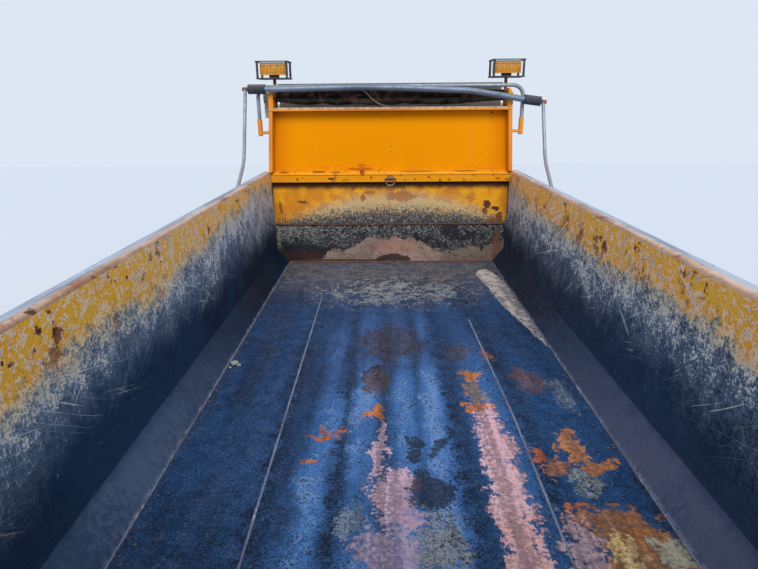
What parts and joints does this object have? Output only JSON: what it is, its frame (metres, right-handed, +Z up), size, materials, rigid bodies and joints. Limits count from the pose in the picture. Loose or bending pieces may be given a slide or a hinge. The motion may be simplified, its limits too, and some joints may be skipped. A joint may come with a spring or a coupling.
{
  "type": "dump body",
  "caption": "Steel dump body with cab shield, hinged tailgate and latch, roll-up tarp on a swing-over bow, and amber warning lamps in guards.",
  "frame": {"origin": "on the ground at the middle of the body's outline", "axes": "+Z up, +Y towards the cab shield (the truck's front), +X to the body's right-hand side"},
  "size_m": [2.5981, 5.404, 2.073],
  "materials": {
    "load_steel": "worn paint over steel with a film of black road material",
    "body_paint": "semi-gloss orange-yellow paint with rust at edges",
    "underframe": "dusty black chassis paint",
    "bare_steel": "worn bare steel",
    "rusty_steel": "rusted steel with remains of paint",
    "red_lens": "gloss red lens",
    "amber_lens": "gloss amber lens",
    "black_plastic": "matte black",
    "guard_wire": "light rings with dark bars",
    "galvanised_pipe": "dull galvanised",
    "aluminium_tube": "dull weathered",
    "aluminium_sheet": "dull dusty",
    "motor_paint": "dusty light grey",
    "sleeve_rubber": "matte blue-grey",
    "tarp_fabric": "black vinyl-coated fabric",
    "tie_webbing": "off-white cord"
  },
  "bodies": {
    "box": {"floor_plate": "load_steel", "side_sheet_left": "load_steel", "side_sheet_right": "load_steel", "front_lower_plate": "load_steel", "front_upper_plate": "load_steel", "top_rail_left": "body_paint", "top_rail_right": "body_paint", "rub_rail_left": "body_paint", "rub_rail_right": "body_paint", "side_posts_left": "body_paint", "side_posts_right": "body_paint", "sill_left": "underframe", "sill_right": "underframe", "crossmembers": "underframe", "front_ledge": "body_paint", "front_stiffeners": "body_paint", "shield_riser": "body_paint", "shield_side_left": "body_paint", "shield_side_right": "body_paint", "shield_canopy": "body_paint", "rear_post_left": "body_paint", "rear_post_right": "body_paint", "rear_beam": "underframe", "tail_lamps": "red_lens", "tailgate_hinge_pins": "bare_steel", "latch_hangers": "underframe", "tip_hinges": "underframe", "hoist_lugs": "underframe", "roller_bracket_left": "body_paint", "roller_bracket_right": "body_paint", "tarp_housing": "aluminium_sheet", "roller_motor": "motor_paint", "tarp_hoop": "galvanised_pipe", "hoop_sockets": "body_paint", "lamp_posts": "rusty_steel", "lamp_guard_left": "guard_wire", "lamp_guard_right": "guard_wire", "lamp_mounts": "black_plastic", "lamp_lens_left": "amber_lens", "lamp_lens_right": "amber_lens", "bow_pivots": "bare_steel", "ring_clip": "rusty_steel"},
    "tailgate": {"tailgate_panel": "load_steel", "tailgate_rails": "body_paint", "tailgate_ribs": "body_paint", "tailgate_ears": "body_paint", "tailgate_latch_pins": "bare_steel"},
    "latch": {"latch_shaft": "bare_steel", "latch_hooks": "bare_steel"},
    "tarp_bow": {"bow_arm_left": "galvanised_pipe", "bow_arm_right": "galvanised_pipe", "bow_crossbar": "aluminium_tube", "bow_fittings": "rusty_steel", "bow_sleeves": "sleeve_rubber"},
    "tarp_roller": {"roller_tube": "bare_steel", "tarp_roll": "tarp_fabric", "tie_cord": "tie_webbing"},
    "tie_ring": {"tie_ring": "bare_steel"}
  },
  "joints": [
    {"name": "tailgate_swing", "type": "hinge", "parent": "box", "child": "tailgate", "pos_m": [0, -2.592, 1.323], "axis": [-1, 0, 0], "range_deg": [0, 75]},
    {"name": "latch_turn", "type": "hinge", "parent": "box", "child": "latch", "pos_m": [0, -2.495, 0.115], "axis": [-1, 0, 0], "range_deg": [0, 45]},
    {"name": "tarp_bow_swing", "type": "hinge", "parent": "box", "child": "tarp_bow", "pos_m": [0, -0.254, 0.563], "axis": [1, 0, 0], "range_deg": [0, 130]},
    {"name": "tarp_roller_turn", "type": "hinge", "parent": "box", "child": "tarp_roller", "pos_m": [0, 2.092, 1.787], "axis": [1, 0, 0], "continuous": true},
    {"name": "tie_ring_swing", "type": "hinge", "parent": "box", "child": "tie_ring", "pos_m": [0, 1.9962, 1.099], "axis": [-1, 0, 0], "range_deg": [0, 100]}
  ]
}
